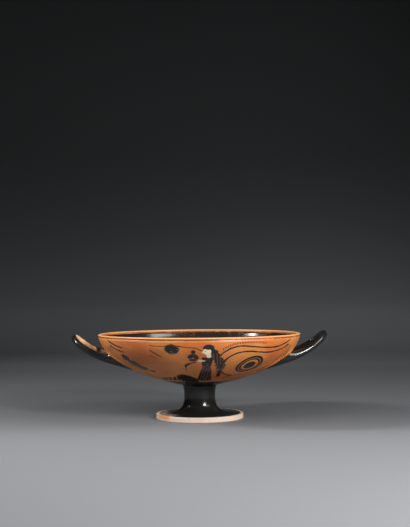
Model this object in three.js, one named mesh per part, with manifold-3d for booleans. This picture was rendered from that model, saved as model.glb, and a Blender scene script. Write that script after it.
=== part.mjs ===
// Kylix: a wide, shallow Greek drinking cup of fired clay, with a stemmed foot and two looped handles.
// Bowl, stem, foot and handles are joined while the clay is soft, so the fired cup is one solid.
// Millimetres, +Z up. The origin is the centre of the foot's underside, the handles lie along X,
// and the front of the cup looks toward -Y.

import * as THREE from "three";
import { mergeVertices } from "three/addons/utils/BufferGeometryUtils.js";
import Module from "manifold-3d";

const wasm = await Module();
wasm.setup();

// Bowl
const HEIGHT = 117; // top of the lip above the table
const RIM_RADIUS = 140;
const LIP_THICKNESS = 3.6; // the lip is rounded over its whole width
const LIP_RADIUS = LIP_THICKNESS / 2;
const FLOOR_THICKNESS = 6.5; // the wall thickens evenly from the lip to the stem

// Foot
const STEM_TOP_RADIUS = 24;
const STEM_TOP_HEIGHT = 46;
const WAIST_RADIUS = 21.6; // the stem at its thinnest
const WAIST_HEIGHT = 30.5;
const PLATE_HEIGHT = 8.5; // where the stem's flare has spread into the foot's plate
const FOOT_RADIUS = 60.2;
const FOOT_EDGE_HEIGHT = 6.9; // the upright band round the foot
const FOOT_EDGE_ROUNDING = 1.2;
const RESTING_RING_WIDTH = 8.5; // flat ring under the foot that touches the table
const HOLLOW_STEP = 2; // rise from the resting ring into the hollow under the foot
const HOLLOW_HEIGHT = 34; // the hollow runs up into the stem
const HOLLOW_RADIUS = 8; // of the hollow inside the stem

// Handles
const HANDLE_REACH = 177.3; // from the cup's axis to the outside of the loop
const HANDLE_RADIUS = 4.3; // of the loop's round section
const ROOT_RADIUS = 10; // where the loop has swollen and its root is buried in the bowl's wall
const ROOT_SPREAD = 102; // between the centres of the two buried roots
const RIGHT_LOOP_HEIGHT = 115.6; // centre of the loop's outer end; the two weren't set quite level
const LEFT_LOOP_HEIGHT = 112.2;

// Fineness of the facets
const TURN_SEGMENTS = 64;
const CURVE_STEPS = 13;
const HANDLE_STEPS = 36;
const HANDLE_SIDES = 12;

const clay = new THREE.MeshStandardMaterial({ color: 0xc08352, roughness: 0.45, metalness: 0 });

const point = (radius, height) => new THREE.Vector2(radius, height);

function bend(...controls) {
  return new THREE.CubicBezierCurve(...controls);
}

// The bowl's outside, from just under the lip down to the top of the stem:
// nearly upright at the rim, then a long sweep that flattens toward the stem.
const bowlOutside = bend(
  point(RIM_RADIUS, HEIGHT - LIP_RADIUS),
  point(RIM_RADIUS - 9.6, 73.4),
  point(73, 58),
  point(STEM_TOP_RADIUS, STEM_TOP_HEIGHT),
);

// A point inside the bowl's wall, at `depth` of the wall's thickness in from the outside.
function wallPoint(along, depth) {
  const thickness = THREE.MathUtils.lerp(LIP_THICKNESS, FLOOR_THICKNESS, along);
  const outside = bowlOutside.getPoint(along);
  const heading = bowlOutside.getTangent(along);
  return point(outside.x + heading.y * thickness * depth, outside.y - heading.x * thickness * depth);
}

function wallPoints(depth) {
  return Array.from({ length: CURVE_STEPS + 1 }, (_, step) => wallPoint(step / CURVE_STEPS, depth));
}

// The floor over the stem runs on from the wall and is level at the axis.
function floorPoints(wallEnd) {
  const heading = bowlOutside.getTangent(1);
  const reach = wallEnd.x / 2;
  const level = wallEnd.y + (heading.y / -heading.x) * reach;
  const floor = new THREE.QuadraticBezierCurve(wallEnd, point(wallEnd.x - reach, level), point(0, level));
  return floor.getPoints(3).slice(1);
}

// The rounded lip, a half circle over the top of the wall, from the inside to the outside.
function lipPoints() {
  const middle = point(RIM_RADIUS - LIP_RADIUS, HEIGHT - LIP_RADIUS);
  return [0.25, 0.5, 0.75].map((share) => {
    const angle = Math.PI * share;
    return point(middle.x + Math.cos(angle) * LIP_RADIUS, middle.y + Math.sin(angle) * LIP_RADIUS);
  });
}

// The underside of the foot, from the axis out: a hollow stem, a shallow dome and a flat resting ring.
function underside() {
  const ringOuter = FOOT_RADIUS - FOOT_EDGE_ROUNDING;
  const ringInner = ringOuter - RESTING_RING_WIDTH;
  const shoulder = HOLLOW_HEIGHT - 6;
  const stemEnd = bend(
    point(0, HOLLOW_HEIGHT),
    point(HOLLOW_RADIUS / 2, HOLLOW_HEIGHT),
    point(HOLLOW_RADIUS, HOLLOW_HEIGHT - 2),
    point(HOLLOW_RADIUS, shoulder),
  );
  const dome = bend(
    point(HOLLOW_RADIUS, shoulder),
    point(HOLLOW_RADIUS + 1, shoulder / 2),
    point(WAIST_RADIUS - 3, HOLLOW_STEP + 1.5),
    point(ringInner - HOLLOW_STEP, HOLLOW_STEP),
  );
  return [...stemEnd.getPoints(3), ...dome.getPoints(6).slice(1), point(ringInner, 0), point(ringOuter, 0)];
}

// The foot's outside: an upright band, a plate that slopes gently to the stem, then the stem itself.
function footOutside() {
  const band = [
    point(FOOT_RADIUS, 0.7 * FOOT_EDGE_ROUNDING),
    point(FOOT_RADIUS, FOOT_EDGE_HEIGHT / 2),
    point(FOOT_RADIUS - 0.4 * FOOT_EDGE_ROUNDING, FOOT_EDGE_HEIGHT - 0.7 * FOOT_EDGE_ROUNDING),
  ];
  const flare = bend(
    point(FOOT_RADIUS - FOOT_EDGE_ROUNDING, FOOT_EDGE_HEIGHT),
    point(1.5 * WAIST_RADIUS, PLATE_HEIGHT),
    point(WAIST_RADIUS, PLATE_HEIGHT),
    point(WAIST_RADIUS, WAIST_HEIGHT),
  );
  const neck = bend(
    point(WAIST_RADIUS, WAIST_HEIGHT),
    point(WAIST_RADIUS, STEM_TOP_HEIGHT - 9),
    point(STEM_TOP_RADIUS - 2, STEM_TOP_HEIGHT - 3.5),
    point(STEM_TOP_RADIUS, STEM_TOP_HEIGHT),
  );
  return [...band, ...flare.getPoints(9), ...neck.getPoints(3).slice(1, -1)];
}

// Turns a profile, which starts and ends on the axis, into a solid of revolution about Z.
function turned(profile) {
  return new THREE.LatheGeometry(profile, TURN_SEGMENTS).rotateX(Math.PI / 2);
}

function asSolid(geometry) {
  const bare = geometry.clone();
  bare.deleteAttribute("normal");
  bare.deleteAttribute("uv");
  const merged = mergeVertices(bare);
  const vertProperties = merged.attributes.position.array;
  const triVerts = Uint32Array.from(merged.index.array);
  return new wasm.Manifold(new wasm.Mesh({ numProp: 3, vertProperties, triVerts }));
}

function asGeometry(solid) {
  const { vertProperties, triVerts } = solid.getMesh();
  const geometry = new THREE.BufferGeometry();
  geometry.setAttribute("position", new THREE.BufferAttribute(vertProperties, 3));
  geometry.setIndex(new THREE.BufferAttribute(triVerts, 1));
  geometry.computeVertexNormals();
  return geometry;
}

function bowlAndFoot() {
  const inside = wallPoints(1);
  const floor = floorPoints(inside.at(-1));
  const profile = [
    ...underside(),
    ...footOutside(),
    ...wallPoints(0).reverse(),
    ...lipPoints(),
    ...inside,
    ...floor,
  ];
  return asSolid(turned(profile));
}

// Everything inside the middle of the bowl's wall. The handles' roots end there, inside the wall.
function wallCore() {
  const middle = wallPoints(0.5);
  const floor = floorPoints(middle.at(-1)).reverse();
  const rim = middle[0];
  return asSolid(turned([...floor, ...middle.reverse(), point(rim.x, HEIGHT + 5), point(0, HEIGHT + 5)]));
}

// Half of the loop's centre line, from its root in the wall (side -1 front, 1 back) to its outer end.
// It leaves the wall nearly level, draws in a little and turns up, so the loop is canted like a stirrup.
function loopHalf(side, height) {
  const end = HANDLE_REACH - HANDLE_RADIUS;
  return new THREE.CubicBezierCurve3(
    new THREE.Vector3(88.3, (side * ROOT_SPREAD) / 2, 82),
    new THREE.Vector3(end - 24, side * 27, 81),
    new THREE.Vector3(end, side * 36, height),
    new THREE.Vector3(end, 0, height),
  );
}

function reversed(curve) {
  return new THREE.CubicBezierCurve3(curve.v3, curve.v2, curve.v1, curve.v0);
}

// The loop's radius along it: thin over the outer half, and swelling toward each root.
function loopRadius(along) {
  const fromEnd = Math.abs(2 * along - 1);
  const swell = Math.max(0, (fromEnd - 0.3) / 0.7) ** 2;
  return THREE.MathUtils.lerp(HANDLE_RADIUS, ROOT_RADIUS, swell);
}

function handleLoop(height) {
  const path = new THREE.CurvePath();
  path.add(loopHalf(-1, height));
  path.add(reversed(loopHalf(1, height)));
  const section = new THREE.Shape().absarc(0, 0, 1, 0, 2 * Math.PI);
  const loop = new THREE.ExtrudeGeometry(section, {
    curveSegments: HANDLE_SIDES / 2, // a whole circle gets twice this many sides
    steps: HANDLE_STEPS,
    extrudePath: path,
  });
  const centres = path.getSpacedPoints(HANDLE_STEPS);
  const { position } = loop.attributes;
  const vertex = new THREE.Vector3();
  for (let i = 0; i < position.count; i += 1) {
    vertex.fromBufferAttribute(position, i);
    const gaps = centres.map((centre) => centre.distanceTo(vertex));
    const ring = gaps.indexOf(Math.min(...gaps));
    vertex.sub(centres[ring]).multiplyScalar(loopRadius(ring / HANDLE_STEPS)).add(centres[ring]);
    position.setXYZ(i, vertex.x, vertex.y, vertex.z);
  }
  return loop;
}

function kylix() {
  const core = wallCore();
  const right = asSolid(handleLoop(RIGHT_LOOP_HEIGHT)).subtract(core);
  const left = asSolid(handleLoop(LEFT_LOOP_HEIGHT).rotateZ(Math.PI)).subtract(core);
  return asGeometry(bowlAndFoot().add(right).add(left));
}

const cup = new THREE.Mesh(kylix(), clay);
cup.name = "kylix";

const group = new THREE.Group();
group.add(cup);

export default group;
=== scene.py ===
"""The kylix's looks: a fine mesh of the cup with its fillets, the painted and worn clay, and the studio.

The cup is one fired piece. It is built here from the same named sizes as the CAD part, with more
facets, and stands for the CAD node. The painting is worked out by the material at each point of
the surface, from the azimuth round the cup and the distance below the lip.
"""

import math

import bmesh
import bpy
import numpy as np
from mathutils import Matrix, Vector


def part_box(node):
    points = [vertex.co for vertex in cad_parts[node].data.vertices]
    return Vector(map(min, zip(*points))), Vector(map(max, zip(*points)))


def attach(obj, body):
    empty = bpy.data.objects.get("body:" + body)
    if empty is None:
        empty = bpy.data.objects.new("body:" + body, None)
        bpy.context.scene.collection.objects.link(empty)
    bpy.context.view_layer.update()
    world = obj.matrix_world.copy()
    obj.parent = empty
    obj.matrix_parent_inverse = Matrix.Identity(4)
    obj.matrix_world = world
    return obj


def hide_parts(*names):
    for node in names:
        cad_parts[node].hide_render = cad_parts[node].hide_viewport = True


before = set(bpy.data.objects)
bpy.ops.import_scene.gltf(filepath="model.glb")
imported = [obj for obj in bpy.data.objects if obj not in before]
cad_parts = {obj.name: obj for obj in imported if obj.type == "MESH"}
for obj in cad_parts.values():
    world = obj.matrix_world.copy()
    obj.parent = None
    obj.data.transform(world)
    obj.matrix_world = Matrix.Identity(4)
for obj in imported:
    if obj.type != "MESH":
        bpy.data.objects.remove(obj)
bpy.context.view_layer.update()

# ---------------------------------------------------------------- sizes, in millimetres of the CAD part
HEIGHT = 117.0
RIM_RADIUS = 140.0
LIP_THICKNESS = 3.6
LIP_RADIUS = LIP_THICKNESS / 2
FLOOR_THICKNESS = 6.5

STEM_TOP_RADIUS = 24.0
STEM_TOP_HEIGHT = 46.0
WAIST_RADIUS = 21.6
WAIST_HEIGHT = 30.5
PLATE_HEIGHT = 8.5
FOOT_RADIUS = 60.2
FOOT_EDGE_HEIGHT = 6.9
FOOT_EDGE_ROUNDING = 1.2
RESTING_RING_WIDTH = 8.5
HOLLOW_STEP = 2.0
HOLLOW_HEIGHT = 34.0
HOLLOW_RADIUS = 8.0

HANDLE_REACH = 177.3
HANDLE_RADIUS = 4.3
ROOT_RADIUS = 10.0
ROOT_SPREAD = 102.0
ROOT_DISTANCE = 88.3
ROOT_HEIGHT = 82.0
LOOP_HEIGHTS = {"right": 115.6, "left": 112.2}
LOOP_CANT = 24.0  # how far the loop draws in before it turns up
LOOP_SHOULDER = (27.0, 81.0)  # half the spread and the height that the arms make for as they turn up
LOOP_END_SPREAD = 36.0  # half the spread that gives the loop's outer end its roundness
LEFT_LOOP_MIDDLE = -150.0  # along X, inside the left loop

FILLET = 9.0  # width over which a handle's root and the bowl run into each other

# Fineness of the mesh, and of the lines that distances are measured from
TURN_SEGMENTS = 360
CORE_SEGMENTS = 120
HANDLE_STEPS = 120
HANDLE_SIDES = 36
LINE_STEPS = 400

# Metres in one of the CAD part's millimetres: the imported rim's radius over its designed one.
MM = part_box("kylix")[1].y / RIM_RADIUS


# ---------------------------------------------------------------- profile of the turned body
def bezier(controls, steps):
    """Points along a cubic curve, both ends included."""
    t = np.linspace(0, 1, steps + 1)[:, None]
    a, b, c, d = (np.array(p, float) for p in controls)
    return a * (1 - t) ** 3 + 3 * b * t * (1 - t) ** 2 + 3 * c * t**2 * (1 - t) + d * t**3


def bezier_heading(controls, steps):
    """The curve's direction at each of those points, of length 1."""
    t = np.linspace(0, 1, steps + 1)[:, None]
    a, b, c, d = (np.array(p, float) for p in controls)
    heading = (b - a) * (1 - t) ** 2 + 2 * (c - b) * t * (1 - t) + (d - c) * t**2
    return heading / np.linalg.norm(heading, axis=1)[:, None]


# The bowl's outside as a cubic curve, from under the lip down to the top of the stem: nearly upright
# at the rim, then a long sweep that flattens toward the stem.
BOWL_OUTSIDE = (
    (RIM_RADIUS, HEIGHT - LIP_RADIUS),
    (RIM_RADIUS - 9.6, 73.4),
    (73.0, 58.0),
    (STEM_TOP_RADIUS, STEM_TOP_HEIGHT),
)


def wall(depth, steps):
    """The bowl's wall from the lip down, at `depth` of its thickness in from the outside."""
    along = np.linspace(0, 1, steps + 1)
    thickness = LIP_THICKNESS + (FLOOR_THICKNESS - LIP_THICKNESS) * along
    heading = bezier_heading(BOWL_OUTSIDE, steps)
    inward = np.stack([heading[:, 1], -heading[:, 0]], axis=1)
    return bezier(BOWL_OUTSIDE, steps) + inward * (thickness * depth)[:, None]


def floor_from(wall_end, steps):
    """The bowl's floor over the stem, from the wall's end to the axis."""
    heading = bezier_heading(BOWL_OUTSIDE, 1)[-1]
    reach = wall_end[0] / 2
    level = wall_end[1] + heading[1] / -heading[0] * reach
    t = np.linspace(0, 1, steps + 1)[:, None]
    middle = np.array([wall_end[0] - reach, level])
    return wall_end * (1 - t) ** 2 + 2 * middle * t * (1 - t) + np.array([0, level]) * t**2


def lip(steps):
    """The rounded lip, from the inside over the top to the outside."""
    angle = np.linspace(0, math.pi, steps + 1)
    middle = np.array([RIM_RADIUS - LIP_RADIUS, HEIGHT - LIP_RADIUS])
    return middle + LIP_RADIUS * np.stack([np.cos(angle), np.sin(angle)], axis=1)


def rounded(corner, before, after, steps):
    """A corner rounded by a curve that starts at `before` and ends at `after`."""
    return bezier((before, corner, corner, after), steps)


def body_profile():
    """The turned body's closed outline as (points, material of the strip that starts at each point)."""
    ring_outer = FOOT_RADIUS - FOOT_EDGE_ROUNDING
    ring_inner = ring_outer - RESTING_RING_WIDTH
    shoulder = HOLLOW_HEIGHT - 6
    hollow_end = bezier(
        ((0, HOLLOW_HEIGHT), (HOLLOW_RADIUS / 2, HOLLOW_HEIGHT),
         (HOLLOW_RADIUS, HOLLOW_HEIGHT - 2), (HOLLOW_RADIUS, shoulder)), 6)
    dome = bezier(
        ((HOLLOW_RADIUS, shoulder), (HOLLOW_RADIUS + 1, shoulder / 2),
         (WAIST_RADIUS - 3, HOLLOW_STEP + 1.5), (ring_inner - HOLLOW_STEP, HOLLOW_STEP)), 18)
    step = rounded((ring_inner - 0.6, HOLLOW_STEP * 0.6), (ring_inner - HOLLOW_STEP, HOLLOW_STEP),
                   (ring_inner, 0), 4)
    lower_edge = rounded((FOOT_RADIUS, 0), (ring_outer, 0), (FOOT_RADIUS, 1.2), 5)
    band = np.array([[FOOT_RADIUS, 2.4], [FOOT_RADIUS, 3.6], [FOOT_RADIUS, 4.8]])
    upper_edge = rounded((FOOT_RADIUS, FOOT_EDGE_HEIGHT), (FOOT_RADIUS, FOOT_EDGE_HEIGHT - 1.0),
                         (ring_outer, FOOT_EDGE_HEIGHT), 5)
    flare = bezier(
        ((ring_outer, FOOT_EDGE_HEIGHT), (1.5 * WAIST_RADIUS, PLATE_HEIGHT),
         (WAIST_RADIUS, PLATE_HEIGHT), (WAIST_RADIUS, WAIST_HEIGHT)), 30)
    neck = bezier(
        ((WAIST_RADIUS, WAIST_HEIGHT), (WAIST_RADIUS, STEM_TOP_HEIGHT - 9),
         (STEM_TOP_RADIUS - 2, STEM_TOP_HEIGHT - 3.5), (STEM_TOP_RADIUS, STEM_TOP_HEIGHT)), 10)
    outside = wall(0, 56)[::-1]
    inside = wall(1, 44)
    floor = floor_from(inside[-1], 8)
    parts = (
        (np.vstack([hollow_end, dome[1:], step[1:]]), "underside"),
        (lower_edge, "foot_edge"),
        (np.vstack([band, upper_edge]), "foot_edge"),
        (np.vstack([flare[1:], neck[1:-1]]), "stem"),
        (outside[:-1], "bowl"),
        (lip(10)[::-1], "bowl"),
        (inside[1:], "inside"),
        (floor[1:], "inside"),
    )
    points = np.vstack([p for p, _ in parts])
    materials = [name for p, name in parts for _ in p]
    return points, materials


def turned(points, materials, finishes, segments, name):
    """A closed solid of revolution about Z. The outline starts and ends on the axis."""
    inner = points[1:-1] if points[-1][0] < 1e-6 else points[1:]
    angle = np.linspace(0, 2 * math.pi, segments, endpoint=False)
    rings = np.stack(
        [inner[:, None, 0] * np.cos(angle), inner[:, None, 0] * np.sin(angle),
         np.repeat(inner[:, None, 1], segments, axis=1)], axis=2).reshape(-1, 3)
    verts = np.vstack([rings, [[0, 0, points[0][1]]], [[0, 0, points[-1][1]]]])
    first, last = len(rings), len(rings) + 1
    faces, kinds = [], []
    following = [(k + 1) % segments for k in range(segments)]
    for row in range(len(inner) - 1):
        low, high = row * segments, (row + 1) * segments
        for k in range(segments):
            faces.append((low + k, low + following[k], high + following[k], high + k))
            kinds.append(materials[row + 1])
    top = (len(inner) - 1) * segments
    for k in range(segments):
        faces.append((first, following[k], k))
        kinds.append(materials[0])
        faces.append((last, top + k, top + following[k]))
        kinds.append(materials[-1])
    mesh = bpy.data.meshes.new(name)
    mesh.from_pydata([tuple(v) for v in verts], [], faces)
    paint_faces(mesh, finishes, kinds)
    return mesh


def paint_faces(mesh, finishes, kinds):
    """Gives the mesh every finish, and each face its own."""
    names = list(finishes)
    for name in names:
        mesh.materials.append(finishes[name])
    mesh.polygons.foreach_set("material_index", [names.index(kind) for kind in kinds])


# ---------------------------------------------------------------- handles
def loop_centres(height):
    """A handle's centre line as it lies on the right, evenly spaced from its front root to its back root."""
    end = HANDLE_REACH - HANDLE_RADIUS
    half = [
        (ROOT_DISTANCE, -ROOT_SPREAD / 2, ROOT_HEIGHT),
        (end - LOOP_CANT, -LOOP_SHOULDER[0], LOOP_SHOULDER[1]),
        (end, -LOOP_END_SPREAD, height),
        (end, 0, height),
    ]
    front = bezier(half, LINE_STEPS)
    back = front[::-1] * [1, -1, 1]
    line = np.vstack([front, back[1:]])
    length = np.concatenate([[0], np.cumsum(np.linalg.norm(np.diff(line, axis=0), axis=1))])
    even = np.linspace(0, length[-1], HANDLE_STEPS + 1)
    return np.stack([np.interp(even, length, line[:, k]) for k in range(3)], axis=1)


def loop_radii():
    """The handle's radius at each centre: thin over the outer half, swelling toward the roots."""
    along = np.linspace(0, 1, HANDLE_STEPS + 1)
    swell = np.maximum(0, (np.abs(2 * along - 1) - 0.3) / 0.7) ** 2
    return HANDLE_RADIUS + (ROOT_RADIUS - HANDLE_RADIUS) * swell


def carried_frames(centres):
    """Two directions across the line at each centre, carried along it without twisting."""
    ahead = np.gradient(centres, axis=0)
    ahead /= np.linalg.norm(ahead, axis=1)[:, None]
    across = np.zeros_like(centres)
    across[0] = (0, 0, 1)
    for k in range(len(centres)):
        start = across[max(k - 1, 0)]
        across[k] = start - ahead[k] * (start @ ahead[k])
        across[k] /= np.linalg.norm(across[k])
    return across, np.cross(ahead, across)


def blend_offset(distance):
    """How far a surface moves out where the other surface is `distance` away, to make the fillet."""
    near = np.clip(1 - distance / FILLET, 0, 1)
    return FILLET / 4 * near**2


def beside_wall(points, depth):
    """For points in space, the flat vector from the nearest point of the wall, and the way out there."""
    line = wall(depth, LINE_STEPS)
    flat = np.stack([np.hypot(points[:, 0], points[:, 1]), points[:, 2]], axis=1)
    nearest = np.linalg.norm(flat[:, None, :] - line[None, :, :], axis=2).argmin(axis=1)
    heading = bezier_heading(BOWL_OUTSIDE, LINE_STEPS)[nearest]
    outward = np.stack([-heading[:, 1], heading[:, 0]], axis=1)
    return flat - line[nearest], outward


def distance_outside_bowl(points):
    """How far points are outside the bowl's wall, near enough for the fillets."""
    gap, outward = beside_wall(points, 0)
    return np.where(np.sum(gap * outward, axis=1) > 0, np.linalg.norm(gap, axis=1), 0)


def handle_mesh(name, finishes):
    """The right or left handle, its roots running on into the bowl's hollow."""
    centres, radii = loop_centres(LOOP_HEIGHTS[name]), loop_radii()
    across, aside = carried_frames(centres)
    angle = np.linspace(0, 2 * math.pi, HANDLE_SIDES, endpoint=False)
    cosine, sine = np.cos(angle)[None, :, None], np.sin(angle)[None, :, None]
    ring = cosine * across[:, None, :] + sine * aside[:, None, :]
    surface = (centres[:, None, :] + ring * radii[:, None, None]).reshape(-1, 3)
    swell = blend_offset(distance_outside_bowl(surface))
    surface = surface + ring.reshape(-1, 3) * swell[:, None]
    half_turn = [1, 1, 1] if name == "right" else [-1, -1, 1]
    verts = np.vstack([surface, centres[:1], centres[-1:]]) * half_turn
    faces = []
    for step in range(HANDLE_STEPS):
        low, high = step * HANDLE_SIDES, (step + 1) * HANDLE_SIDES
        for k in range(HANDLE_SIDES):
            beside = (k + 1) % HANDLE_SIDES
            faces.append((low + k, low + beside, high + beside, high + k))
    start, end, last = len(surface), len(surface) + 1, HANDLE_STEPS * HANDLE_SIDES
    for k in range(HANDLE_SIDES):
        beside = (k + 1) % HANDLE_SIDES
        faces.append((start, beside, k))
        faces.append((end, last + k, last + beside))
    mesh = bpy.data.meshes.new(name)
    mesh.from_pydata([tuple(v) for v in verts], [], faces)
    paint_faces(mesh, finishes, ["handle"] * len(mesh.polygons))
    return mesh


def distance_outside_handles(points):
    """How far points are outside the nearer handle."""
    folded = np.stack([np.abs(points[:, 0]), -np.abs(points[:, 1]), points[:, 2]], axis=1)
    half = HANDLE_STEPS // 2 + 1
    gaps = {}
    for name, height in LOOP_HEIGHTS.items():
        reach = np.linalg.norm(folded[:, None, :] - loop_centres(height)[None, :half, :], axis=2)
        gaps[name] = (reach - loop_radii()[None, :half]).min(axis=1)
    return np.maximum(np.where(points[:, 0] > 0, gaps["right"], gaps["left"]), 0)


# ---------------------------------------------------------------- one fused mesh
def link(obj):
    bpy.context.scene.collection.objects.link(obj)
    return obj


def combine(target, tool, operation):
    """Cuts `tool` from `target`, or joins it on, and removes `tool`."""
    modifier = target.modifiers.new("combine", "BOOLEAN")
    modifier.operation = operation
    modifier.solver = "MANIFOLD"
    modifier.object = tool
    graph = bpy.context.evaluated_depsgraph_get()
    mesh = bpy.data.meshes.new_from_object(target.evaluated_get(graph))
    target.modifiers.clear()
    target.data = mesh
    bpy.data.objects.remove(tool)


def swell_bowl_at_roots(mesh):
    """Raises the bowl's outside toward each handle root, for the fillet."""
    co = np.empty(len(mesh.vertices) * 3)
    mesh.vertices.foreach_get("co", co)
    co = co.reshape(-1, 3)
    radius = np.hypot(co[:, 0], co[:, 1])
    from_inside = np.linalg.norm(beside_wall(co, 1)[0], axis=1)
    outside = (radius > FOOT_RADIUS) & (co[:, 2] < HEIGHT - LIP_RADIUS)
    outside &= (distance_outside_bowl(co) < 0.05) & (from_inside > 1)
    picked = np.flatnonzero(outside)
    outward = beside_wall(co[picked], 0)[1]
    shift = outward * blend_offset(distance_outside_handles(co[picked]))[:, None]
    azimuth = np.arctan2(co[picked, 1], co[picked, 0])
    co[picked, 0] += shift[:, 0] * np.cos(azimuth)
    co[picked, 1] += shift[:, 0] * np.sin(azimuth)
    co[picked, 2] += shift[:, 1]
    mesh.vertices.foreach_set("co", co.ravel())
    mesh.update()


def soften_joins(obj, handle_slot):
    """Smooths the crease where the handles meet the bowl."""
    mesh = bmesh.new()
    mesh.from_mesh(obj.data)
    crease = set()
    for edge in mesh.edges:
        slots = {face.material_index for face in edge.link_faces}
        if handle_slot in slots and len(slots) > 1:
            crease.update(edge.verts)
    near = set(crease)
    for _ in range(3):
        near |= {e.other_vert(v) for v in near for e in v.link_edges}
    for _ in range(5):
        bmesh.ops.smooth_vert(
            mesh, verts=list(near), factor=0.5,
            use_axis_x=True, use_axis_y=True, use_axis_z=True)
    mesh.to_mesh(obj.data)
    mesh.free()


def kylix_mesh(finishes):
    """The whole cup: the turned body with both handles joined on, in metres."""
    points, kinds = body_profile()
    body = turned(points, kinds, finishes, TURN_SEGMENTS, "kylix_cup")
    swell_bowl_at_roots(body)
    cup = link(bpy.data.objects.new("kylix_cup", body))
    middle = wall(0.5, 60)
    core_line = np.vstack([
        floor_from(middle[-1], 6)[::-1],
        middle[::-1][1:],
        [[middle[0][0], HEIGHT + 5], [0, HEIGHT + 5]],
    ])
    core_kinds = ["handle"] * len(core_line)
    for name in LOOP_HEIGHTS:
        handle = link(bpy.data.objects.new(name, handle_mesh(name, finishes)))
        core_mesh = turned(core_line, core_kinds, finishes, CORE_SEGMENTS, "core")
        combine(handle, link(bpy.data.objects.new("core", core_mesh)), "DIFFERENCE")
        combine(cup, handle, "UNION")
    soften_joins(cup, list(finishes).index("handle"))
    cup.data.transform(Matrix.Scale(MM, 4))
    cup.data.polygons.foreach_set("use_smooth", [True] * len(cup.data.polygons))
    cup.data.update()
    return cup


# ---------------------------------------------------------------- formulas in materials
class Value:
    """A number that a material works out at each point of the surface."""

    def __init__(self, socket):
        self.socket = socket

    def __add__(self, other):
        return compute("ADD", self, other)

    def __radd__(self, other):
        return compute("ADD", other, self)

    def __sub__(self, other):
        return compute("SUBTRACT", self, other)

    def __rsub__(self, other):
        return compute("SUBTRACT", other, self)

    def __mul__(self, other):
        return compute("MULTIPLY", self, other)

    def __rmul__(self, other):
        return compute("MULTIPLY", other, self)

    def __truediv__(self, other):
        return compute("DIVIDE", self, other)

    def __abs__(self):
        return compute("ABSOLUTE", self)


def plug(socket, value):
    """Joins a value to a node's input, or sets a plain number on it."""
    if isinstance(value, Value):
        socket.id_data.links.new(value.socket, socket)
    else:
        socket.default_value = value


def compute(operation, *values):
    """The result of one arithmetic node."""
    tree = next(v for v in values if isinstance(v, Value)).socket.id_data
    node = tree.nodes.new("ShaderNodeMath")
    node.operation = operation
    for socket, value in zip(node.inputs, values):
        plug(socket, value)
    return Value(node.outputs[0])


def greater(first, *others):
    """The greatest of the values."""
    for other in others:
        first = compute("MAXIMUM", first, other)
    return first


def root(value):
    return compute("SQRT", value)


def wave(value):
    """A sine of a value in turns."""
    return compute("SINE", value * (2 * math.pi))


def fade(value, start, end):
    """0 at `start`, 1 at `end`, and smooth between; `end` may be the lower one."""
    node = value.socket.id_data.nodes.new("ShaderNodeMapRange")
    node.interpolation_type = "SMOOTHSTEP"
    plug(node.inputs["Value"], value)
    node.inputs["From Min"].default_value = start
    node.inputs["From Max"].default_value = end
    return Value(node.outputs["Result"])


def within(value, low, high, soft):
    """1 between two limits, falling to 0 over `soft` outside them."""
    return fade(value, low - soft, low) * fade(value, high + soft, high)


def curve_height(x, points):
    """The height at x of a smooth curve through `points`, which run from left to right."""
    xs, ys = [p[0] for p in points], [p[1] for p in points]
    margin = (max(ys) - min(ys)) * 0.1
    low, high = min(ys) - margin, max(ys) + margin
    node = x.socket.id_data.nodes.new("ShaderNodeFloatCurve")
    curve = node.mapping.curves[0]
    places = [((px - xs[0]) / (xs[-1] - xs[0]), (py - low) / (high - low)) for px, py in points]
    for place in places[1:-1]:
        curve.points.new(*place)
    curve.points[0].location = places[0]
    curve.points[-1].location = places[-1]
    node.mapping.extend = "HORIZONTAL"
    node.mapping.update()
    plug(node.inputs["Value"], (x - xs[0]) / (xs[-1] - xs[0]))
    return Value(node.outputs[0]) * (high - low) + low


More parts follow.
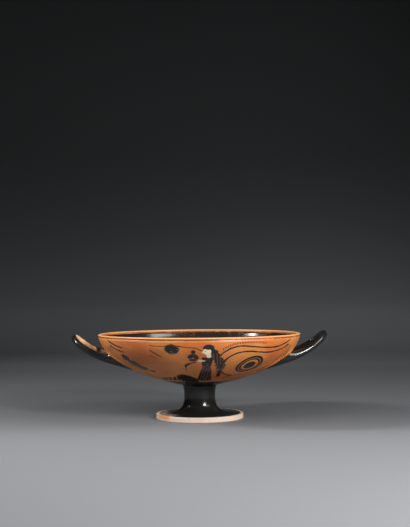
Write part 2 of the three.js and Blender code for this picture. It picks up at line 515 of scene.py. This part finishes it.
class Surface:
    """A material under construction: where the shaded point is, and the shader at its end."""

    def __init__(self, name):
        self.material = bpy.data.materials.new(name)
        self.material.use_nodes = True
        self.tree = self.material.node_tree
        self.shader = self.tree.nodes["Principled BSDF"]
        place = self.tree.nodes.new("ShaderNodeTexCoord")
        scaled = self.tree.nodes.new("ShaderNodeVectorMath")
        scaled.operation = "SCALE"
        scaled.inputs["Scale"].default_value = 1 / MM
        self.tree.links.new(place.outputs["Object"], scaled.inputs[0])
        self.place = scaled.outputs[0]
        parts = self.tree.nodes.new("ShaderNodeSeparateXYZ")
        self.tree.links.new(self.place, parts.inputs[0])
        self.x, self.y, self.z = (Value(out) for out in parts.outputs)
        self.radius = root(self.x * self.x + self.y * self.y)
        self.azimuth = compute("ARCTAN2", self.x, self.y * -1) * (180 / math.pi)
        self.below_lip = (RIM_RADIUS + HEIGHT - self.radius - self.z) * 0.77
        self.drop = HEIGHT - self.z
        self.mm_per_degree = self.radius * (math.pi / 180)

    def texture(self, kind, size, seed):
        """A texture node with features about `size` millimetres across; each seed is another part of it."""
        node = self.tree.nodes.new(kind)
        node.inputs["Scale"].default_value = 1 / size
        mapping = self.tree.nodes.new("ShaderNodeMapping")
        mapping.inputs["Location"].default_value = (seed, seed * 1.7, -seed)
        self.tree.links.new(self.place, mapping.inputs["Vector"])
        self.tree.links.new(mapping.outputs[0], node.inputs["Vector"])
        return node

    def noise(self, size, detail, seed, roughness=0.5):
        """Noise from 0 to 1."""
        node = self.texture("ShaderNodeTexNoise", size, seed)
        node.inputs["Detail"].default_value = detail
        node.inputs["Roughness"].default_value = roughness
        return Value(node.outputs[0])

    def pits(self, size, seed):
        """Distance in cells from the nearest of scattered points."""
        node = self.texture("ShaderNodeTexVoronoi", size, seed)
        return Value(node.outputs["Distance"])

    def mix(self, amount, first, second):
        """A colour that goes from `first` to `second` as `amount` goes from 0 to 1."""
        node = self.tree.nodes.new("ShaderNodeMix")
        node.data_type = "RGBA"
        plug(node.inputs["Factor"], amount)
        for socket, colour in ((node.inputs[6], first), (node.inputs[7], second)):
            if isinstance(colour, tuple):
                socket.default_value = (*colour, 1)
            else:
                self.tree.links.new(colour, socket)
        return node.outputs[2]

    def finish(self, colour, roughness, relief):
        """Joins the worked-out colour, roughness and relief (in millimetres) to the shader."""
        self.tree.links.new(colour, self.shader.inputs["Base Color"])
        plug(self.shader.inputs["Roughness"], roughness)
        bump = self.tree.nodes.new("ShaderNodeBump")
        bump.inputs["Strength"].default_value = 1
        bump.inputs["Distance"].default_value = MM
        plug(bump.inputs["Height"], relief)
        self.tree.links.new(bump.outputs[0], self.shader.inputs["Normal"])
        return self.material


def srgb(red, green, blue):
    """A colour from its usual 0 to 255 values, as the shader's linear light."""
    def linear(value):
        share = value / 255
        return share / 12.92 if share <= 0.04045 else ((share + 0.055) / 1.055) ** 2.4
    return linear(red), linear(green), linear(blue)


CLAY = srgb(212, 134, 68)
CLAY_PALE = srgb(222, 166, 114)
CLAY_RED = srgb(194, 104, 46)
CLAY_GREYISH_PALE = srgb(203, 184, 169)
CLAY_GREYISH_WARM = srgb(214, 186, 164)
SLIP = srgb(30, 29, 28)
SLIP_BROWN = srgb(74, 48, 33)
ADDED_RED = srgb(104, 44, 32)
CREAM = srgb(236, 220, 188)


# ---------------------------------------------------------------- painting
def stroke(surface, points, width, upright=False, rough=0.25):
    """A brushed line through `points` of (azimuth, distance below the lip), `width` mm thick.

    The points run in order of azimuth, or of distance below the lip for an upright line.
    """
    azimuth, down = surface.side_azimuth, surface.below_lip
    if upright:
        line = [(d, a) for a, d in points]
        middle = curve_height(down, line)
        ahead = curve_height(down + 0.5, line)
        slope = (ahead - middle) * 2 * surface.mm_per_degree
        gap = abs(azimuth - middle) * surface.mm_per_degree
        along = down
    else:
        line = points
        middle = curve_height(azimuth, line)
        ahead = curve_height(azimuth + 0.5, line)
        slope = (ahead - middle) * 2 / surface.mm_per_degree
        gap = abs(down - middle)
        along = azimuth
    gap = gap / root(slope * slope + 1)
    half = width / 2 * (1 + (surface.brush - 0.5) * (4 * rough))
    ink = fade(gap - half, 0.3, -0.15)
    return ink * within(along, line[0][0], line[-1][0], 0.6)


def patch(surface, azimuth, down, half_width, half_height, lean=0.0, ragged=0.12):
    """An oval dab of slip: its centre, its half sizes in mm, and its lean in mm of drift per mm down."""
    across = (surface.side_azimuth - azimuth) * surface.mm_per_degree
    fall = surface.below_lip - down
    across = (across - fall * lean) / half_width
    fall = fall / half_height
    reach = root(across * across + fall * fall) + (surface.edge - 0.5) * (2 * ragged)
    return fade(reach, 1.12, 0.88)


def iris(surface, azimuth, down_point):
    """Rings drawn with compasses about a point on the bowl, as distance from it in mm."""
    angle = math.radians(azimuth)
    radius, height = down_point
    across = surface.fold_x - radius * math.sin(angle)
    ahead = surface.fold_y - radius * math.cos(angle)
    up = surface.z - height
    return root(across * across + ahead * ahead + up * up)


def ring(distance, radius, width):
    """One of the iris's painted rings, `width` mm thick."""
    return fade(abs(distance - radius), width / 2 + 0.25, width / 2 - 0.15)


def eye_lines(s):
    """The pair of big eyes, drawn once on the folded half: brow, lid and the lines at the handle."""
    brow = stroke(s, [(12, 25), (15.4, 17), (19.2, 12.6), (23.4, 11.2), (30, 12.6), (38, 14.6),
                      (47, 14.7), (53.8, 11.3), (60, 5.5)], 2.1)
    lid = stroke(s, [(15.6, 37), (17, 30), (19.5, 25), (23.5, 21), (29, 20), (36, 21.8), (43, 23),
                     (52, 20), (59.6, 12.6)], 2.3)
    outer = stroke(s, [(60, 12), (60.5, 24), (58, 42), (54, 58), (50, 70)], 1.2, upright=True)
    roots = stroke(s, [(62.4, 13), (63.4, 35), (62, 50)], 1.2, upright=True)
    roots_beside = stroke(s, [(64.4, 15), (65.8, 36), (65, 50)], 1.2, upright=True)
    return greater(brow, lid, outer, roots, roots_beside)


def eye_rest(s):
    """The parts of an eye that the front's left one has lost: iris, tear, lower lines and dots."""
    rings = iris(s, 35, (113.4, 79.1))
    eye = greater(ring(rings, 17.7, 3.8), ring(rings, 13.6, 2.8), fade(rings, 8.7, 8.2))
    inner = stroke(s, [(16.0, 33), (14.2, 41), (13.8, 50), (14.8, 60), (18, 70), (25, 80)], 2.4,
                   upright=True)
    tear = patch(s, 27, 82, 3.6, 2.6, lean=-0.4)
    under = stroke(s, [(21, 91), (27, 85), (35, 79), (43, 74), (51, 69)], 1.3)
    dot_line = stroke(s, [(12.8, 15.5), (15.5, 11.5), (18, 8.9), (22, 7.0), (27, 6.4), (33, 6.8),
                          (39, 8.2)], 2.6, rough=0.1)
    beads = fade(wave(s.side_azimuth * s.mm_per_degree / 2.3), -0.1, 0.5)
    return greater(eye, inner, tear, under, dot_line * beads)


def worn_iris(s):
    """What is left of the front's left eye: a smear of its iris."""
    return greater(
        patch(s, -50.6, 33, 6.5, 7.5, ragged=0.25),
        patch(s, -47.0, 46, 9.0, 9.0, lean=0.2, ragged=0.3) * 0.92,
        patch(s, -43.6, 56, 8.5, 7.5, lean=0.2, ragged=0.35) * 0.9,
        patch(s, -37.5, 66, 5.0, 3.6, ragged=0.35) * 0.85,
    )


def vines(s):
    """The middle of each side, round the figure: grapes, vine, a leaf and a dark mass at the bottom."""
    grapes = greater(fade(s.pits(3.2, seed=4), 0.16, 0.3), 0.35)
    cluster = patch(s, -15, 15, 9.6, 7.8, ragged=0.2) * grapes
    vine = greater(
        stroke(s, [(-27, 9.2), (-22, 10.6), (-17, 10.2)], 1.0),
        stroke(s, [(-12, 10), (-7, 12), (-3, 13), (1, 17), (3.5, 21)], 1.3),
        stroke(s, [(-28, 17), (-25.5, 22), (-22.5, 28)], 1.6),
        stroke(s, [(-29, 26), (-26, 32)], 1.0),
    )
    leaf = greater(
        patch(s, -3.4, 19.5, 3.0, 3.6, ragged=0.25),
        patch(s, -5.0, 27, 3.8, 4.6, lean=-0.3, ragged=0.25),
        patch(s, -2.2, 27.5, 3.6, 5.2, lean=0.3, ragged=0.25),
        patch(s, -3.8, 34, 5.0, 2.8, ragged=0.3),
        stroke(s, [(-9.2, 56), (-8.6, 48), (-6.4, 42), (-2.4, 39.5)], 3.0, rough=0.6),
    )
    mass = patch(s, -12.5, 96, 13, 21, lean=0.15, ragged=0.25)
    mass_left = patch(s, -30, 96, 18, 9, lean=-0.9, ragged=0.3)
    gaps = fade(wave(s.side_azimuth / 5.5 + s.below_lip / 17), 0.55, 0.9)
    gaps = gaps * fade(s.side_azimuth, -16, -22)
    return greater(cluster, vine * 0.9, leaf, mass, mass_left * (1 - gaps * 0.8))


def painted_bowl():
    """The bowl's outside and lip: reserved clay with the painting, flaked and thin in places."""
    s = Surface("painted_bowl")
    s.brush = s.noise(9, detail=1, seed=3)
    s.edge = s.noise(2.6, detail=3, seed=11)
    broad = s.noise(60, detail=2, seed=5)
    fine = s.noise(1.1, detail=3, seed=8)
    grain = s.noise(0.35, detail=2, seed=2)
    blotch = s.noise(14, detail=4, roughness=0.6, seed=21)
    front = fade(s.y, 4, -4)
    s.fold_x, s.fold_y = abs(s.x), abs(s.y)
    # The azimuth from the middle of the nearer painted side.
    side = compute("ARCTAN2", s.x * (front * 2 - 1), s.fold_y) * (180 / math.pi)
    down = s.below_lip

    s.side_azimuth = abs(side)
    worn_eye = front * fade(side, 0, -4)
    kept = fade(side, -46.5, -49) * fade(down, 24, 21)
    drawing = greater(eye_lines(s) * (1 - worn_eye * (1 - kept)), eye_rest(s) * (1 - worn_eye))

    s.side_azimuth = side
    smear = worn_iris(s) * front * fade(s.edge * 0.5 + blotch * 0.5, 0.28, 0.40)
    figure = drawn_figure(s, front)
    base = fade(down + (s.brush - 0.5) * 1.6, 112, 113.2)
    lip_line = within(s.drop + (s.brush - 0.5) * 0.5, 2.5, 4.0, 0.35)
    lip_kept = fade(blotch, 0.36, 0.47) * (1 - front * within(side, -59, -34, 2))
    flake = fade(s.edge * 0.6 + blotch * 0.4, 0.30, 0.38)
    drawing = greater(drawing, vines(s), figure["black"]) * flake
    slip = greater(drawing, smear, base, lip_line * lip_kept * 0.55)

    clay = s.mix(fade(broad, 0.35, 0.7), CLAY, CLAY_RED)
    clay = s.mix(fade(blotch, 0.55, 0.8) * 0.35, clay, CLAY_PALE)
    clay = s.mix(fade(fine, 0.62, 0.74) * 0.18, clay, SLIP_BROWN)
    # Painted highlight: the clay is paler over the top of the lip.
    clay = s.mix(fade(s.drop, 2.6, 1.0) * 0.6, clay, CLAY_PALE)
    thin = fade(s.noise(5, detail=3, seed=31), 0.48, 0.7) * 0.55
    slip_colour = s.mix(thin * (1 - base), SLIP, SLIP_BROWN)
    colour = s.mix(slip, clay, slip_colour)
    colour = s.mix(figure["red"] * flake, colour, ADDED_RED)
    colour = s.mix(figure["cream"], colour, CREAM)
    colour = s.mix(figure["features"], colour, SLIP)

    roughness = 0.46 - slip * 0.22 + (fine - 0.5) * 0.10 + figure["cream"] * 0.2
    throwing = wave(down / 2.7 + (broad - 0.5) * 0.8) * 0.012
    relief = slip * 0.035 + (fine - 0.5) * 0.05 + (grain - 0.5) * 0.02 + throwing
    relief = relief + figure["cream"] * 0.03
    return s.finish(colour, roughness, relief)


def drawn_figure(s, front):
    """A generic robed figure on the front, facing left: how far each of its paints covers the clay.

    Places are in mm across from its middle and below the lip.
    """
    across = (s.side_azimuth - 4.6) * s.mm_per_degree
    down = s.below_lip
    ragged = (s.edge - 0.5) * 1.6

    def oval(x, y, half_width, half_height, soft=0.12):
        over, up = (across - x) / half_width, (down - y) / half_height
        return fade(root(over * over + up * up) + (s.edge - 0.5) * 0.16, 1 + soft, 1 - soft)

    hair = oval(0.8, 13.0, 7.2, 5.0)
    knot = oval(6.2, 17.0, 3.2, 4.0)
    face = oval(-1.0, 18.8, 5.2, 5.4, soft=0.06)
    nose = oval(-6.0, 19.6, 1.5, 1.3, soft=0.2)
    neck = oval(1.6, 26.0, 3.0, 4.2)
    eye = oval(-3.0, 18.2, 1.0, 0.5, soft=0.4)
    mouth = oval(-4.2, 22.2, 0.9, 0.35, soft=0.4)
    fringe = oval(0.6, 12.0, 6.2, 3.8)

    half = curve_height(down, [(24, 3), (30, 7.2), (42, 6.4), (51, 5.4), (62, 7.2), (80, 8.2),
                               (98, 9.4)])
    dress = fade(abs(across + ragged * 0.4) - half, 0.4, -0.4) * within(down, 29, 104, 1)
    fold = fade(wave(across / 3.7 + down / 150), 0.86, 0.98) * within(down, 54, 100, 3)
    belt = within(down, 49.5, 51.2, 0.4) * fade(abs(across), 5.4, 5.0)
    drape = curve_height(down, [(17, 7.5), (30, 12.5), (46, 17.5), (60, 18), (84, 17)])
    hem = curve_height(down, [(17, 2.2), (27, 4.8), (40, 5.4), (52, 4.4), (62, 2.2), (84, 1.3)])
    tooth = abs(wave(down / 15 + 0.1)) * 2.2
    mantle_gap = abs(across - drape + ragged) - hem - tooth
    mantle = fade(mantle_gap, 0.4, -0.4) * within(down, 17, 84, 2)
    pleat = fade(abs(wave((across - drape * 0.6) / 8.4 + down / 70)), 0.22, 0.08)
    pleat = pleat * within(down, 24, 58, 3)
    arm = oval(-7.5, 36, 5.2, 1.7)

    cream = greater(face, nose, neck * 0.9, arm * 0.8) * (1 - fringe) * front
    black = greater(hair, knot, dress * (1 - fold * 0.5), mantle * (1 - pleat * 0.85)) * front
    red = greater(belt, fold * dress * 0.7) * front
    features = greater(eye, mouth) * face * front
    return {"black": black, "red": red, "cream": cream, "features": features}


def black_inside():
    """Plain glossy slip inside the bowl, with a reserved band at the lip."""
    s = Surface("black_inside")
    brush = s.noise(9, detail=1, seed=3)
    fine = s.noise(1.1, detail=3, seed=8)
    broad = s.noise(50, detail=3, seed=15)
    down = s.drop
    reserved = fade(down + (brush - 0.5) * 0.7, 3.9, 3.3)
    worn = fade(fine * 0.5 + broad * 0.5, 0.60, 0.66) * fade(down, 14, 4) * 0.6
    clay = s.mix(fade(broad, 0.4, 0.65), CLAY_PALE, CLAY)
    slip = s.mix(fade(s.noise(30, detail=3, seed=9), 0.45, 0.9) * 0.22, SLIP, SLIP_BROWN)
    colour = s.mix(greater(reserved, worn), slip, clay)
    roughness = 0.17 + reserved * 0.28 + (s.noise(6, detail=4, seed=12) - 0.5) * 0.10
    throwing = wave(down / 3.4 + (broad - 0.5)) * 0.01
    relief = throwing + (fine - 0.5) * 0.02 + (broad - 0.5) * 0.6
    return s.finish(colour, roughness, relief)


def black_stem():
    """Glossy slip on the stem and the foot's plate, paler grey on a stretch at the left and worn at the
    edge.
    """
    s = Surface("black_stem")
    fine = s.noise(1.1, detail=3, seed=8)
    blotch = s.noise(12, detail=4, roughness=0.6, seed=21)
    edge_worn = fade(s.radius + (blotch - 0.5) * 5, FOOT_RADIUS - 3.2, FOOT_RADIUS - 0.8)
    slip = s.mix(fade(blotch, 0.55, 0.8) * 0.3, SLIP, SLIP_BROWN)
    # The plate's slip is painted paler grey over a stretch on its left, in blotches.
    pale_left_stretch = within(s.azimuth, -105, -48, 12) * fade(s.radius, 40, 50) * fade(blotch, 0.3, 0.5)
    slip = s.mix(pale_left_stretch * 0.55, slip, CLAY_GREYISH_PALE)
    colour = s.mix(edge_worn * 0.85, slip, CLAY_RED)
    roughness = 0.17 + edge_worn * 0.25 + (s.noise(7, detail=4, seed=12) - 0.5) * 0.12
    throwing = wave(s.z / 2.4) * 0.008
    relief = throwing + (fine - 0.5) * 0.02 + (blotch - 0.5) * 0.12
    return s.finish(colour, roughness, relief)


def foot_edge_worn_and_painted_light():
    """The foot's upright band: worn clay with a painted highlight, one warmer stretch on the left, and
    painted shade at the bottom.
    """
    s = Surface("foot_edge_worn_and_painted_light")
    fine = s.noise(1.1, detail=3, seed=8)
    blotch = s.noise(10, detail=4, roughness=0.6, seed=25)
    # Partly painted highlight: the band's pale greyish colour is worn clay, painted paler as if brightly lit
    # from the front.
    colour = s.mix(fade(blotch, 0.42, 0.62), CLAY_GREYISH_PALE, CLAY_GREYISH_WARM)
    warm = within(s.azimuth, -66, -46, 5)
    colour = s.mix(warm * fade(s.z + (blotch - 0.5) * 8, 1, 4) * 0.9, colour, CLAY)
    speck = fade(s.noise(2.2, detail=2, seed=40), 0.66, 0.70)
    colour = s.mix(speck * 0.6, colour, CLAY_RED)
    # Painted shade: darker brown toward the rounded bottom edge, where the foot meets the floor.
    colour = s.mix(fade(s.z, 1.2, 0.2) * 0.5, colour, SLIP_BROWN)
    roughness = 0.5 + (fine - 0.5) * 0.15
    relief = (fine - 0.5) * 0.08 + (blotch - 0.5) * 0.15 - speck * 0.08
    return s.finish(colour, roughness, relief)


def bare_underside():
    """Bare turned clay under the foot, paler where it rests."""
    s = Surface("bare_underside")
    fine = s.noise(1.1, detail=3, seed=8)
    blotch = s.noise(14, detail=4, roughness=0.6, seed=33)
    colour = s.mix(fade(blotch, 0.4, 0.65), CLAY, CLAY_RED)
    colour = s.mix(fade(s.z, 0.6, 0.1) * 0.6, colour, CLAY_GREYISH_PALE)
    roughness = 0.62 + (fine - 0.5) * 0.15
    turning = wave(s.radius / 2.1) * 0.03
    return s.finish(colour, roughness, turning + (fine - 0.5) * 0.1)


def black_handle():
    """Glossy slip on the handles. The left loop's inside is reserved over its outer half."""
    s = Surface("black_handle")
    fine = s.noise(1.1, detail=3, seed=8)
    blotch = s.noise(11, detail=4, roughness=0.6, seed=27)
    facing = s.tree.nodes.new("ShaderNodeNewGeometry")
    lean = s.tree.nodes.new("ShaderNodeSeparateXYZ")
    s.tree.links.new(facing.outputs["Normal"], lean.inputs[0])
    from_middle = s.x - LEFT_LOOP_MIDDLE
    reach = root(from_middle * from_middle + s.y * s.y)
    inward = (Value(lean.outputs[0]) * from_middle + Value(lean.outputs[1]) * s.y) / reach * -1
    inner_face = fade(inward + (blotch - 0.5) * 0.25, 0.35, 0.5) * fade(s.x, 0, -1)
    outer_half = fade(s.x + (blotch - 0.5) * 6, -144, -148)
    thin_at_root = fade(s.x, -142, -138) * 0.35
    inner_face = inner_face * (outer_half + thin_at_root)
    clay = s.mix(fade(blotch, 0.4, 0.65), CLAY_PALE, CREAM)
    slip = s.mix(fade(blotch, 0.55, 0.8) * 0.35, SLIP, SLIP_BROWN)
    colour = s.mix(inner_face, slip, clay)
    roughness = 0.2 + inner_face * 0.25 + (fine - 0.5) * 0.1
    relief = (fine - 0.5) * 0.03 + (blotch - 0.5) * 0.2
    return s.finish(colour, roughness, relief)


# ---------------------------------------------------------------- studio
CAMERA_PLACE = Vector((0.0, -1.393, 0.1756))
CAMERA_PITCH = 1.575  # degrees up
CAMERA_YAW = 0.36
CAMERA_ROLL = 0.45
LENS = 68.31
PAPER_DARK = srgb(22, 22, 23)
PAPER_PALE = srgb(146, 148, 151)


def make_camera():
    """A long-lens view from a little above the rim, turned slightly as the photograph is."""
    data = bpy.data.cameras.new("camera")
    data.lens = LENS
    data.sensor_width = 36
    camera = link(bpy.data.objects.new("camera", data))
    camera.location = CAMERA_PLACE
    aim = Matrix.Rotation(math.radians(-CAMERA_YAW), 4, "Z")
    tilt = Matrix.Rotation(math.radians(90 + CAMERA_PITCH), 4, "X")
    roll = Matrix.Rotation(math.radians(-CAMERA_ROLL), 4, "Z")
    camera.rotation_euler = (aim @ tilt @ roll).to_euler()
    bpy.context.scene.camera = camera


# Painted light and shade: how pale the paper is, by its distance behind the cup in metres.
PAPER_PAINTED_LIGHT = [(-0.63, 1.0), (-0.41, 0.78), (-0.2, 0.65), (-0.03, 0.42), (0.1, 0.36), (0.4, 0.4),
              (0.8, 0.58), (1.2, 0.95), (1.9, 1.0), (2.06, 0.8), (2.2, 0.63), (2.4, 0.42), (2.6, 0.27)]


def paper_with_painted_light():
    """Matt paper with painted light: pale in front, painted shadow round the cup, painted light at the bend,
    dark up the backdrop.
    """
    material = bpy.data.materials.new("paper_painted_light")
    material.use_nodes = True
    tree = material.node_tree
    shader = tree.nodes["Principled BSDF"]
    shader.inputs["Roughness"].default_value = 0.9
    place = tree.nodes.new("ShaderNodeTexCoord")
    parts = tree.nodes.new("ShaderNodeSeparateXYZ")
    tree.links.new(place.outputs["Object"], parts.inputs[0])
    tone = tree.nodes.new("ShaderNodeMix")
    tone.data_type = "RGBA"
    # Painted light and shade: the paper's colour goes from dark to pale by its distance behind the cup.
    plug(tone.inputs["Factor"], curve_height(Value(parts.outputs[1]), PAPER_PAINTED_LIGHT))
    tone.inputs[6].default_value = (*PAPER_DARK, 1)
    tone.inputs[7].default_value = (*PAPER_PALE, 1)
    tree.links.new(tone.outputs[2], shader.inputs["Base Color"])
    return material


def make_sweep():
    """The paper sweep: floor, one wide bend and backdrop."""
    half_width, front, bend_start, bend_radius, top = 3.2, -2.6, 1.5, 1.2, 3.6
    outline = [(front, 0.0), (-1.2, 0.0), (0.0, 0.0), (bend_start, 0.0)]
    for k in range(1, 25):
        angle = math.pi / 2 * k / 24
        outline.append((bend_start + bend_radius * math.sin(angle),
                        bend_radius * (1 - math.cos(angle))))
    outline.append((bend_start + bend_radius, top))
    verts = [(side * half_width, y, z) for y, z in outline for side in (-1, 1)]
    faces = [(2 * k, 2 * k + 1, 2 * k + 3, 2 * k + 2) for k in range(len(outline) - 1)]
    mesh = bpy.data.meshes.new("sweep")
    mesh.from_pydata(verts, [], faces)
    mesh.polygons.foreach_set("use_smooth", [True] * len(faces))
    mesh.materials.append(paper_with_painted_light())
    sweep = link(bpy.data.objects.new("sweep", mesh))


def make_lamp(name, place, target, width, height, power, spread):
    """A rectangular soft light that looks from one place toward another."""
    data = bpy.data.lights.new(name, "AREA")
    data.shape = "RECTANGLE"
    data.size = width
    data.size_y = height
    data.energy = power
    data.spread = math.radians(spread)
    lamp = link(bpy.data.objects.new(name, data))
    lamp.location = place
    lamp.rotation_euler = (Vector(place) - Vector(target)).to_track_quat("Z", "Y").to_euler()
    return lamp


def make_softbox(name, azimuth, elevation, distance, width, height, power, spread=120, aim=0.07):
    """A lamp that looks at the cup from an azimuth to the right of the camera and an elevation."""
    turn, rise = math.radians(azimuth), math.radians(elevation)
    out = Vector((math.sin(turn) * math.cos(rise), -math.cos(turn) * math.cos(rise), math.sin(rise)))
    target = Vector((0, 0, aim))
    return make_lamp(name, target + out * distance, target, width, height, power, spread)


def make_studio():
    """Camera, paper, lamps (powers in watts, sizes in metres) and a faint light from all round."""
    make_camera()
    make_sweep()
    make_softbox("softbox_left", -82, 34, 1.2, 0.15, 0.24, 4.6)
    make_softbox("softbox_right", 60, 38, 1.3, 0.60, 0.55, 4.0)
    make_softbox("key", 35, 21, 1.4, 0.23, 0.23, 7.6)
    # These two set the tone of the paper, and the glossy slip doesn't mirror them.
    pool = make_softbox("floor_pool", -35, 50, 1.15, 0.7, 0.3, 1.1, spread=80, aim=-0.1)
    glow = make_lamp("backdrop_glow", (0.6, 1.0, 1.3), (0.25, 2.7, 0.2), 0.4, 0.4, 0.9, spread=100)
    pool.visible_glossy = False
    glow.visible_glossy = False
    world = bpy.data.worlds.new("studio")
    world.use_nodes = True
    world.node_tree.nodes["Background"].inputs[0].default_value = (0.9, 0.95, 1.0, 1)
    world.node_tree.nodes["Background"].inputs[1].default_value = 0.008
    bpy.context.scene.world = world
    bpy.context.scene.view_settings.view_transform = "Standard"


cup = kylix_mesh({
    "bowl": painted_bowl(),
    "inside": black_inside(),
    "stem": black_stem(),
    "foot_edge": foot_edge_worn_and_painted_light(),
    "underside": bare_underside(),
    "handle": black_handle(),
})
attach(cup, "root")
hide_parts("kylix")
make_studio()
